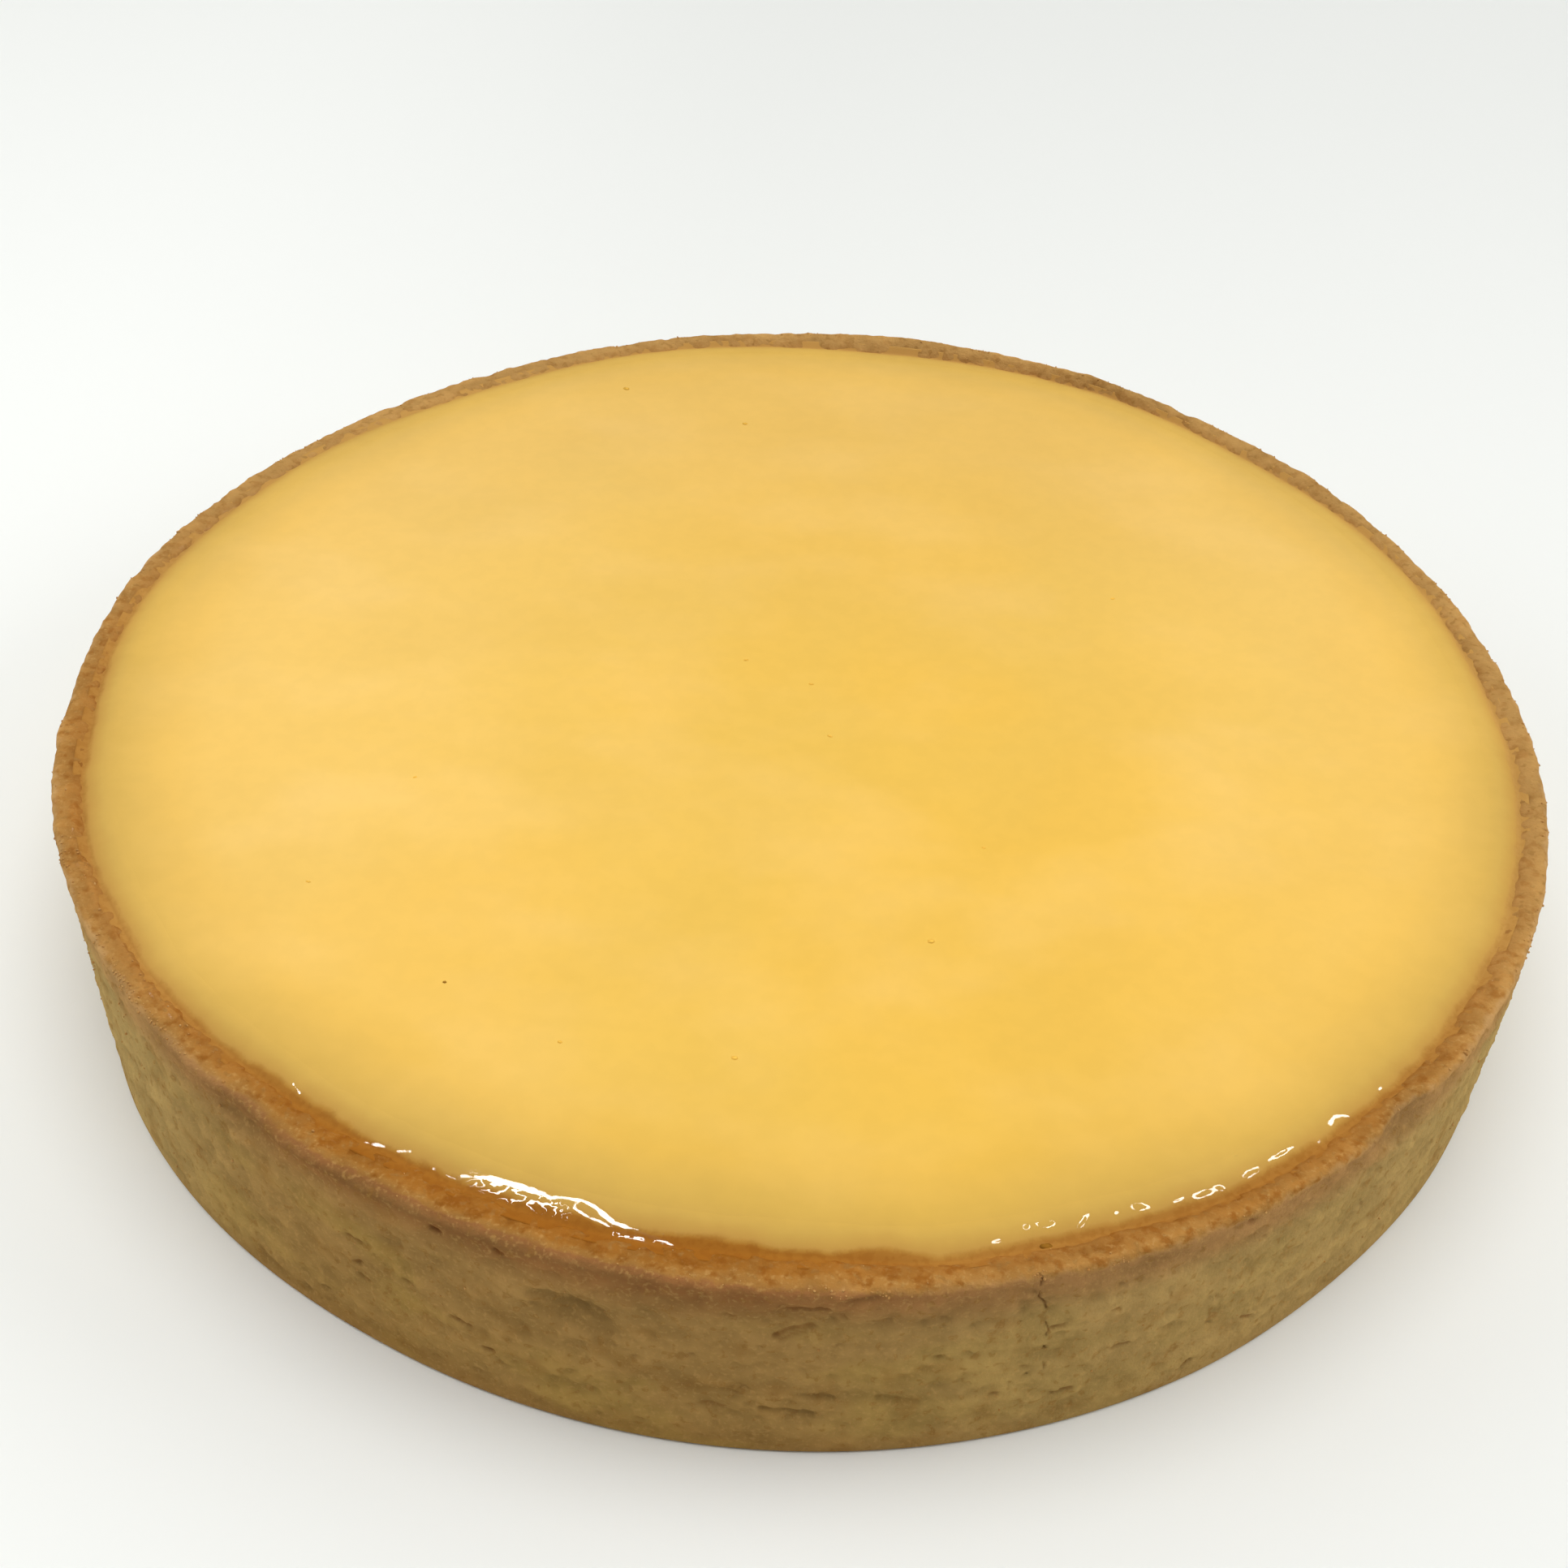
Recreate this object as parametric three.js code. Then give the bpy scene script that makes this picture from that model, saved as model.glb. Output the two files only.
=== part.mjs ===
// A round lemon tart: a shortcrust case, baked in a straight-sided ring, full of lemon curd.
// Millimetres, +Z up. The origin is the middle of the base, and the front of the tart faces -Y.
// Angles run anticlockwise from +X, seen from above, so the front is at 270 degrees.
import * as THREE from "three";

// The baking ring and the rolled pastry
const ringDiameter = 180;
const ringHeight = 27;
const pastryThickness = 3.6;

// Rounded edges of the pastry
const footRound = 0.6;
const lipRound = 0.8; // outer edge of the rim
const brimRound = 2; // inner edge of the rim, where the curd laps against it
const cornerRound = 4; // inside, between the wall and the floor

// The curd
const curdClearance = 0.3; // to the pastry, all round
const curdRise = 0.4; // middle of the surface, above the ring
const curdFalls = [ // the surface falls gently towards the rim, then rolls down to it
  { drop: 0.5, width: 9 },
  { drop: 0.8, width: 3.2 },
];

// Where the baked rim is wider, or narrower, than the rolled pastry
const rimWidths = [
  { at: 5, spread: 12, wider: 0.3 },
  { at: 28, spread: 20, wider: -0.8 },
  { at: 62, spread: 24, wider: -1.3 },
  { at: 104, spread: 18, wider: -0.5 },
  { at: 130, spread: 20, wider: 1.1 },
  { at: 173, spread: 20, wider: -0.9 },
  { at: 202, spread: 14, wider: -0.5 },
  { at: 236, spread: 18, wider: 1.2 },
  { at: 252, spread: 16, wider: 1.2 },
  { at: 269, spread: 13, wider: 1.2 },
  { at: 288, spread: 10, wider: 0.2 },
  { at: 302, spread: 12, wider: -0.6 },
  { at: 327, spread: 10, wider: 0.2 },
];

// Where the rim stands higher, or lower, than the ring, and how far down the wall that tells
const liftDepth = 9;
const rimLifts = [
  { at: 40, spread: 14, lift: 0.5 },
  { at: 62, spread: 18, lift: 1.15 },
  { at: 82, spread: 16, lift: 1.1 },
  { at: 100, spread: 12, lift: 0.4 },
  { at: 135, spread: 27, lift: -0.72 },
  { at: 236, spread: 14, lift: -0.3 },
  { at: 323, spread: 16, lift: 0.3 },
];

// Where the wall bulges out, or in: full at the rim, and none at the foot
const wallBulges = [
  { at: 8, spread: 14, out: -0.25 },
  { at: 172, spread: 16, out: 0.7 },
  { at: 198, spread: 20, out: 0.75 },
];

// Hollows in the outside of the wall at the front: height of the middle, half width, half height and depth
const frontDents = [
  { at: 233.5, height: 25.5, wide: 6.5, tall: 4, deep: 0.9 },
  { at: 258, height: 19, wide: 5.5, tall: 3.8, deep: 0.9 },
  { at: 269, height: 7.2, wide: 11, tall: 3, deep: 0.5 },
  { at: 272, height: 22.5, wide: 5.5, tall: 3.6, deep: 0.7 },
  { at: 286, height: 20.5, wide: 4.5, tall: 5, deep: 0.6 },
  { at: 314, height: 25, wide: 6, tall: 4, deep: 1.4 },
];

// Hollows like them round the rest of the wall, from the right over the back to the left
const otherDents = 15;
const otherDentsFrom = 330;
const otherDentsTo = 580;

const crumb = 0.14; // roughness of the baked pastry
const crumbSeed = 41;

// Fineness of the surfaces
const crustColumns = 192;
const curdColumns = 96;
const wallRows = 9;
const shoulderRows = 6;
const roundSteps = 3;

const caseRadius = ringDiameter / 2;
const innerRadius = caseRadius - pastryThickness;
const lipStart = ringHeight - lipRound;
const brimStart = ringHeight - brimRound;
const cornerTop = pastryThickness + cornerRound;
const quarter = Math.PI / 2;
const { clamp, degToRad, seededRandom, smoothstep } = THREE.MathUtils;

// A soft hill: 1 at no distance, and 0 from one spread away
function hill(distance, spread) {
  const share = Math.min(Math.abs(distance) / spread, 1);
  return (1 - share ** 2) ** 2;
}

// Difference of two angles in degrees, from -180 to 180
function turnBetween(angle, other) {
  return THREE.MathUtils.euclideanModulo(angle - other + 180, 360) - 180;
}

// The sum of a list's hills at an angle in degrees
function hillsAt(angle, list, key) {
  return list.reduce((sum, each) => sum + each[key] * hill(turnBetween(angle, each.at), each.spread), 0);
}

// A number from low to high that jumps about with the index: the fractions of a square root's multiples
function jump(index, square, low, high) {
  return low + (high - low) * (((index + 1) * Math.sqrt(square)) % 1);
}

function makeOtherDents() {
  const step = (otherDentsTo - otherDentsFrom) / otherDents;
  return Array.from({ length: otherDents }, (_, index) => ({
    at: otherDentsFrom + step * (index + jump(index, 2, 0.1, 0.9)),
    height: jump(index, 3, 5, 18),
    wide: jump(index, 5, 4.5, 8),
    tall: jump(index, 7, 3.2, 4.5),
    deep: jump(index, 11, 0.4, 0.9),
  }));
}

const dents = [...frontDents, ...makeOtherDents()];

// How far the outside of the wall stands out at an angle and a height
function wallOffset(angle, height) {
  const bulge = hillsAt(angle, wallBulges, "out");
  const hollows = dents.reduce((sum, { at, height: middle, wide, tall, deep }) => {
    const along = degToRad(turnBetween(angle, at)) * caseRadius;
    return sum + deep * hill(Math.hypot(along / wide, (height - middle) / tall), 1);
  }, 0);
  return (bulge * height) / ringHeight - hollows;
}

// How far the inside of the wall leans in at an angle and a height: none at the floor, full at the rim
function innerLean(angle, height) {
  const share = clamp((height - cornerTop) / (brimStart - cornerTop), 0, 1);
  return share * hillsAt(angle, rimWidths, "wider");
}

// Points of a round edge, without its first one
function roundEdge(x, y, radius, from, to) {
  return Array.from({ length: roundSteps }, (_, step) => {
    const angle = from + ((to - from) * (step + 1)) / roundSteps;
    return new THREE.Vector2(x + radius * Math.cos(angle), y + radius * Math.sin(angle));
  });
}

// Turns a profile round the axis and lets shape move each of its points at each angle in degrees
function turned(profile, columns, shape) {
  const geometry = new THREE.LatheGeometry(profile, columns);
  const position = geometry.getAttribute("position");
  for (let column = 0; column <= columns; column += 1) {
    const angle = (360 * (column % columns)) / columns;
    profile.forEach((point, row) => {
      const [radius, height] = shape(angle, point, (column % columns) * profile.length + row);
      const x = radius * Math.cos(degToRad(angle));
      const y = radius * Math.sin(degToRad(angle));
      position.setXYZ(column * profile.length + row, x, y, height);
    });
  }
  geometry.computeVertexNormals();
  return geometry;
}

// The pastry: floor, upright wall and rounded rim in one piece
function makeCrust() {
  const wallBottom = footRound;
  const wallStep = (lipStart - wallBottom) / wallRows;
  const profile = [
    new THREE.Vector2(0, 0),
    new THREE.Vector2(caseRadius - footRound, 0),
    ...roundEdge(caseRadius - footRound, footRound, footRound, -quarter, 0),
    ...Array.from({ length: wallRows }, (_, row) => {
      return new THREE.Vector2(caseRadius, wallBottom + wallStep * (row + 1));
    }),
    ...roundEdge(caseRadius - lipRound, lipStart, lipRound, 0, quarter),
    new THREE.Vector2(innerRadius + brimRound, ringHeight),
    ...roundEdge(innerRadius + brimRound, brimStart, brimRound, quarter, 2 * quarter),
    new THREE.Vector2(innerRadius, cornerTop),
    ...roundEdge(innerRadius - cornerRound, cornerTop, cornerRound, 0, -quarter),
    new THREE.Vector2(0, pastryThickness),
  ];
  seededRandom(crumbSeed);
  const grain = Array.from({ length: crustColumns * profile.length }, () => {
    return crumb * (2 * seededRandom() - 1);
  });
  const geometry = turned(profile, crustColumns, (angle, { x, y }, index) => {
    const outside = smoothstep(x, innerRadius, caseRadius);
    const standing = smoothstep(y, 0, cornerTop); // the base stays flat
    const moved = outside * (wallOffset(angle, y) + grain[index] * standing);
    const leaning = (1 - outside) * innerLean(angle, y);
    const lift = hillsAt(angle, rimLifts, "lift") * smoothstep(y, ringHeight - liftDepth, ringHeight);
    return [x + moved - leaning, y + outside * (lift + grain[index] * standing)];
  });
  const material = new THREE.MeshStandardMaterial({ color: 0x96703a, roughness: 0.85, metalness: 0 });
  const crust = new THREE.Mesh(geometry, material);
  crust.name = "crust";
  return crust;
}

// The curd: it fills the pastry, and its surface rolls down to the rim
function makeFilling() {
  const edgeRadius = innerRadius - curdClearance;
  const bottom = pastryThickness + curdClearance;
  const top = ringHeight + curdRise;
  const corner = cornerRound - curdClearance;
  const profile = [
    new THREE.Vector2(0, bottom),
    new THREE.Vector2(innerRadius - cornerRound, bottom),
    ...roundEdge(innerRadius - cornerRound, cornerTop, corner, -quarter, 0),
    ...Array.from({ length: shoulderRows + 1 }, (_, row) => {
      const inwards = curdFalls[0].width * (row / shoulderRows) ** 2;
      const fallen = curdFalls.reduce((sum, { drop, width }) => {
        return sum + drop * Math.max(1 - inwards / width, 0) ** 2;
      }, 0);
      return new THREE.Vector2(edgeRadius - inwards, top - fallen);
    }),
    new THREE.Vector2(0, top),
  ];
  const geometry = turned(profile, curdColumns, (angle, { x, y }) => {
    return [x * (1 - innerLean(angle, y) / edgeRadius), y];
  });
  const material = new THREE.MeshStandardMaterial({ color: 0xf6c862, roughness: 0.2, metalness: 0 });
  const filling = new THREE.Mesh(geometry, material);
  filling.name = "lemon_filling";
  return filling;
}

const tart = new THREE.Group();
tart.name = "lemon_tart";
tart.add(makeCrust(), makeFilling());

export default tart;
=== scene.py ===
import math
import random

import bmesh
import bpy
import numpy as np
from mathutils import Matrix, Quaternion, Vector, noise


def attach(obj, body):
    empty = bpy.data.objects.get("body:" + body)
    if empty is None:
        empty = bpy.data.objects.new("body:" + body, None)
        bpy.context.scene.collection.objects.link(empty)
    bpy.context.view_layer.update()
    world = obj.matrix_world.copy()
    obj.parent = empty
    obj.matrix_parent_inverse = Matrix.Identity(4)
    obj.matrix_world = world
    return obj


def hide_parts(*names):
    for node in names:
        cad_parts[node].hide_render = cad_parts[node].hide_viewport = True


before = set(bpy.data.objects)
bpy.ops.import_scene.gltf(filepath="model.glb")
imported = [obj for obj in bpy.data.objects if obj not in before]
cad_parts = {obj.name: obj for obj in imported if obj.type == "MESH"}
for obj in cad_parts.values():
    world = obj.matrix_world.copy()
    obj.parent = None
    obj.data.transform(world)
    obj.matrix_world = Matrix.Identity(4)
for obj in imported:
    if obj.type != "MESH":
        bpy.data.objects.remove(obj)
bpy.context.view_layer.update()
mm = 0.001
print("frame loaded:", sorted(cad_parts))


# small helpers

def startFresh():
    if bpy.context.object and bpy.context.object.mode != "OBJECT":
        bpy.ops.object.mode_set(mode="OBJECT")
    bpy.ops.object.select_all(action="DESELECT")


def pickCorners(piece, kind, enough, test):
    # selects the vertices, edges or faces with all or any corners that pass the test, in edit mode
    bpy.ops.mesh.select_mode(type=kind)
    bpy.ops.mesh.select_all(action="DESELECT")
    cage = bmesh.from_edit_mesh(piece.data)
    items = {"VERT": cage.verts, "EDGE": cage.edges, "FACE": cage.faces}[kind]
    for item in items:
        corners = [item] if kind == "VERT" else item.verts
        if enough(test(corner) for corner in corners):
            item.select_set(True)
    cage.select_flush_mode()
    bmesh.update_edit_mesh(piece.data)


def pick(piece, kind, test):
    # the same by the places of all corners, in millimetres
    pickCorners(piece, kind, all, lambda corner: test(corner.co / mm))


def near(a, b):
    return abs(a - b) < 0.01


def selectAll():
    bpy.ops.mesh.select_all(action="SELECT")


def cutEdges(piece, cuts, test):
    pick(piece, "EDGE", test)
    bpy.ops.mesh.subdivide(number_cuts=cuts)


def addSection(name, left, right, bottom, top):
    # an upright rectangle at y = 0, from left to right and bottom to top, in millimetres
    startFresh()
    middle = Vector(((left + right) / 2, 0, (bottom + top) / 2)) * mm
    bpy.ops.mesh.primitive_plane_add(size=1, location=middle, rotation=(math.pi / 2, 0, 0))
    piece = bpy.context.object
    piece.name = name
    piece.data.name = name
    bpy.ops.object.mode_set(mode="EDIT")
    size = ((right - left) * mm, 1, (top - bottom) * mm)
    bpy.ops.transform.resize(value=size, center_override=middle)
    bpy.ops.object.mode_set(mode="OBJECT")
    bpy.ops.object.transform_apply(location=True, rotation=True, scale=True)
    bpy.ops.object.mode_set(mode="EDIT")
    return piece


def spinSection(piece, quarterSteps):
    # the outline of the section goes round the axis: a quarter by spin, the rest by turned copies
    pick(piece, "EDGE", lambda p: near(p.x, 0))
    bpy.ops.mesh.delete(type="EDGE")
    selectAll()
    bpy.ops.mesh.spin(steps=quarterSteps, angle=math.pi / 2, center=(0, 0, 0), axis=(0, 0, 1))
    for turn in (math.pi / 2, math.pi):
        selectAll()
        bpy.ops.mesh.duplicate()
        bpy.ops.transform.rotate(value=turn, orient_axis="Z", center_override=(0, 0, 0))
    selectAll()
    bpy.ops.mesh.remove_doubles(threshold=0.002 * mm)
    bpy.ops.mesh.normals_make_consistent(inside=False)
    bpy.ops.object.mode_set(mode="OBJECT")
    bpy.ops.object.shade_smooth()


def readVectors(piece, what):
    flat = np.empty(len(piece.data.vertices) * 3)
    piece.data.vertices.foreach_get(what, flat)
    return flat.reshape(-1, 3)


def readPoints(piece):
    return readVectors(piece, "co") / mm


def writePoints(piece, points):
    piece.data.vertices.foreach_set("co", (points * mm).ravel())
    piece.data.update()


def writeMask(piece, name, values):
    layer = piece.data.attributes.new(name, "FLOAT", "POINT")
    layer.data.foreach_set("value", np.clip(values, 0, 1).astype(np.float32))


def polar(points):
    angle = np.degrees(np.arctan2(points[:, 1], points[:, 0])) % 360
    return angle, np.hypot(points[:, 0], points[:, 1]), points[:, 2]


def fromPolar(angle, radius, height):
    turn = np.radians(angle)
    return np.stack([radius * np.cos(turn), radius * np.sin(turn), height], 1)


def turnBetween(angle, other):
    return (angle - other + 180) % 360 - 180


def hill(share):
    return (1 - np.minimum(np.abs(share), 1) ** 2) ** 2


def ease(value, low, high):
    share = np.clip((value - low) / (high - low), 0, 1)
    return share * share * (3 - 2 * share)


def hillsAt(angle, rows):
    return sum(amount * hill(turnBetween(angle, at) / spread) for at, spread, amount in rows)


def clouds(points, size, seed, octaves=2):
    # smooth lumps of about this size in millimetres, about -1 to 1
    shift = Vector((17.3, 5.1, 9.7)) * seed
    return np.array([noise.fractal(Vector(point) / size + shift, 1, 2, octaves) for point in points])


def jump(index, square, low, high):
    # a number from low to high that jumps about with the index
    return low + (high - low) * ((index + 1) * math.sqrt(square) % 1)


# camera, from the outline of the rim and the base in the picture

view = {
    "eye": (0, -192.92, 177.46),  # millimetres
    "aim": (-2.16, -19.81, 27.0),  # what the middle of the picture falls on
    "roll": 2.71,  # degrees
    "lens": 44.72,
    "sensor": 36,
    "clipStart": 0.005,  # metres
}

startFresh()
eye = Vector(view["eye"]) * mm
sight = Vector(view["aim"]) * mm - eye
bpy.ops.object.camera_add(location=eye)
camera = bpy.context.object
camera.data.lens = view["lens"]
camera.data.sensor_width = view["sensor"]
camera.data.clip_start = view["clipStart"]
look = sight.to_track_quat("-Z", "Y") @ Quaternion((0, 0, 1), math.radians(view["roll"]))
camera.rotation_euler = look.to_euler()
bpy.context.scene.camera = camera
print("camera set")


# node helpers, and the masks that the finishes share

def setInputs(tree, node, sockets):
    # links where a value is another node's output
    for name, value in sockets.items():
        if isinstance(value, bpy.types.NodeSocket):
            tree.links.new(value, node.inputs[name])
        else:
            node.inputs[name].default_value = value


def addNode(tree, kind, sockets=None, **settings):
    made = tree.nodes.new(kind)
    for name, value in settings.items():
        setattr(made, name, value)
    setInputs(tree, made, sockets or {})
    return made


def attribute(tree, name):
    return addNode(tree, "ShaderNodeAttribute", attribute_name=name).outputs["Fac"]


def maths(tree, operation, first, second=0.0):
    return addNode(tree, "ShaderNodeMath", {0: first, 1: second}, operation=operation).outputs["Value"]


def times(tree, first, second):
    return maths(tree, "MULTIPLY", first, second)


def between(tree, value, low, high, start=0.0, end=1.0):
    sockets = {"Value": value, "From Min": low, "From Max": high, "To Min": start, "To Max": end}
    return addNode(tree, "ShaderNodeMapRange", sockets, interpolation_type="SMOOTHSTEP").outputs["Result"]


def squeezed(tree, place, factors):
    return addNode(tree, "ShaderNodeMapping", {"Vector": place, "Scale": factors}).outputs["Vector"]


def colour(red, green, blue):
    # a colour as seen, 0 to 255, as the shader wants it
    steps = [channel / 255 for channel in (red, green, blue)]
    return tuple(s / 12.92 if s <= 0.04045 else ((s + 0.055) / 1.055) ** 2.4 for s in steps) + (1,)


def colourRamp(tree, value, stops):
    made = addNode(tree, "ShaderNodeValToRGB", {"Fac": value})
    elements = made.color_ramp.elements
    for element, (position, shade) in zip(elements, (stops[0], stops[-1])):
        element.position, element.color = position, shade
    for position, shade in stops[1:-1]:
        elements.new(position).color = shade
    return made.outputs["Color"]


def mixColours(tree, share, first, second, blend="MIX"):
    sockets = {0: share, 6: first, 7: second}
    return addNode(tree, "ShaderNodeMix", sockets, data_type="RGBA", blend_type=blend).outputs[2]


def shaded(tree, body, shade):
    grey = addNode(tree, "ShaderNodeCombineColor", {0: shade, 1: shade, 2: shade}).outputs["Color"]
    return mixColours(tree, 1.0, body, grey, "MULTIPLY")


def tinted(tree, body, mask, shade, most=1.0):
    # mixes a colour in by a mask, or by a share of it
    share = mask if most == 1 else times(tree, mask, most)
    return mixColours(tree, share, body, colour(*shade))


def newFinish(name, roughness):
    # matte: what is wet gets its gloss from a coat
    finish = bpy.data.materials.new(name)
    finish.use_nodes = True
    tree = finish.node_tree
    shader = tree.nodes["Principled BSDF"]
    setInputs(tree, shader, {"Roughness": roughness, "Specular IOR Level": 0})
    place = addNode(tree, "ShaderNodeTexCoord").outputs["Object"]
    return finish, tree, shader, place


def newGroup(name, vectors, floats):
    # a node group that makes a mask from these inputs
    group = bpy.data.node_groups.new(name, "ShaderNodeTree")
    for kind, names in (("NodeSocketVector", vectors), ("NodeSocketFloat", floats)):
        for each in names:
            group.interface.new_socket(each, in_out="INPUT", socket_type=kind)
    group.interface.new_socket("Mask", in_out="OUTPUT", socket_type="NodeSocketFloat")
    return group, addNode(group, "NodeGroupInput").outputs


def makeBlotches():
    group, given = newGroup("blotches", ["Vector"], ["Scale", "Detail", "Low", "High"])
    sockets = {name: given[name] for name in ("Vector", "Scale", "Detail")}
    grain = addNode(group, "ShaderNodeTexNoise", sockets).outputs["Fac"]
    addNode(group, "NodeGroupOutput", {"Mask": between(group, grain, given["Low"], given["High"])})
    return group


blotchGroup = makeBlotches()


def blotches(tree, place, size, detail, low, high):
    # cloudy mask with patches of about this size in millimetres
    sockets = {"Vector": place, "Scale": 1000 / size, "Detail": detail, "Low": low, "High": high}
    return addNode(tree, "ShaderNodeGroup", sockets, node_tree=blotchGroup).outputs["Mask"]


def makeDrop():
    vectors = ["Vector", "Location", "Rotation", "Scale"]
    group, given = newGroup("dropEdge", vectors, ["Thickness"])
    sockets = {name: given[name] for name in vectors}
    inside = addNode(group, "ShaderNodeMapping", sockets, vector_type="TEXTURE").outputs["Vector"]
    away = addNode(group, "ShaderNodeVectorMath", {0: inside}, operation="LENGTH").outputs["Value"]
    offEdge = maths(group, "ABSOLUTE", maths(group, "SUBTRACT", away, 1.0))
    addNode(group, "NodeGroupOutput", {"Mask": maths(group, "LESS_THAN", offEdge, given["Thickness"])})
    return group


dropGroup = makeDrop()


def dropEdge(tree, place, angle, radius, long, wide, turn, thickness):
    # mask of the outline of a flat oval, in millimetres, turned from the way round the axis
    toward = math.radians(angle)
    return addNode(tree, "ShaderNodeGroup", {
        "Vector": place,
        "Location": (radius * mm * math.cos(toward), radius * mm * math.sin(toward), 0),
        "Rotation": (0, 0, toward + math.pi / 2 - math.radians(turn)),
        "Scale": (long * mm, wide * mm, 1),
        "Thickness": thickness,
    }, node_tree=dropGroup).outputs["Mask"]


# stage: pale floor, a soft sky and soft boxes, and lamps that only the glaze mirrors

studio = {
    "floorSize": 6.0,
    "floorColour": (0.895, 0.91, 0.885),
    "floorLightAndShade": (1.06, 0.98),  # painted light at the left and painted shade at the right
    # painted shade towards the back
    "floorBackShade": 0.9,
    "floorReach": [(-0.15, 0.0), (-0.05, 0.35)],  # metres to the right, and back, over which it changes
    "skyColour": (1, 1, 0.985, 1),
    "skyLow": 0.58,  # brightness up to some way above the horizon, and overhead
    "skyHigh": 0.66,
    "skyRise": (0.35, 1.0),
    "skyFront": 0.28,  # share of its light that comes from the side of the viewer
    "skyTurn": (-0.9, 0.2),
    "skyMirrored": 0.55,  # share of the sky that wet surfaces mirror
    "skySeen": 0.95,  # brightness as a backdrop
    # place, length and width in metres, watts, turn in degrees, and whether it is only mirrored
    "lights": {
        "softBox": ((0, -0.12, 1.5), 1.4, 1.4, 11.6, 0, False),
        "leftBox": ((-1.4, 0.1, 0.7), 1.0, 1.0, 3.8, 0, False),
        "rightBox": ((1.4, 0.1, 0.7), 1.0, 1.0, 6.5, 0, False),
        "leftLamp": ((-0.42, 0.07, 1.0), 0.9, 0.8, 48, 90, True),
        "rightLamp": ((0.6, 0.2, 1.0), 1.1, 0.6, 30, 90, True),
    },
}


def makeSky():
    sky = bpy.data.worlds.new("softSky")
    sky.use_nodes = True
    tree = sky.node_tree
    direction = addNode(tree, "ShaderNodeTexCoord").outputs["Generated"]
    way = addNode(tree, "ShaderNodeSeparateXYZ", {"Vector": direction})
    rise = between(tree, way.outputs["Z"], *studio["skyRise"], studio["skyLow"], studio["skyHigh"])
    front = between(tree, way.outputs["Y"], *studio["skyTurn"], studio["skyFront"], 1)
    lit = times(tree, rise, front)
    mirrored = times(tree, rise, studio["skyMirrored"])
    ray = addNode(tree, "ShaderNodeLightPath").outputs
    glow = addNode(tree, "ShaderNodeMix", {0: ray["Is Glossy Ray"], 2: lit, 3: mirrored}).outputs[0]
    seen = {0: ray["Is Camera Ray"], 2: glow, 3: studio["skySeen"]}
    glow = addNode(tree, "ShaderNodeMix", seen).outputs[0]
    setInputs(tree, tree.nodes["Background"], {"Color": studio["skyColour"], "Strength": glow})
    return sky


def addLight(name, place, length, width, power, turn, mirrored):
    startFresh()
    bpy.ops.object.light_add(type="AREA", location=place)
    light = bpy.context.object
    light.name = name
    light.data.shape = "ELLIPSE"
    light.data.size = length
    light.data.size_y = width
    light.data.energy = power
    light.visible_glossy = mirrored
    light.visible_diffuse = not mirrored
    facing = (-Vector(place)).to_track_quat("-Z", "Y")
    light.rotation_euler = (facing @ Quaternion((0, 0, 1), math.radians(turn))).to_euler()


startFresh()
bpy.ops.mesh.primitive_plane_add(size=studio["floorSize"])
floor = bpy.context.object
floor.name = "floor"
for lightName, settings in studio["lights"].items():
    addLight(lightName, *settings)
bpy.context.scene.world = makeSky()
bpy.context.scene.view_settings.view_transform = "Standard"
print("stage lit")


# crust

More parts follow.
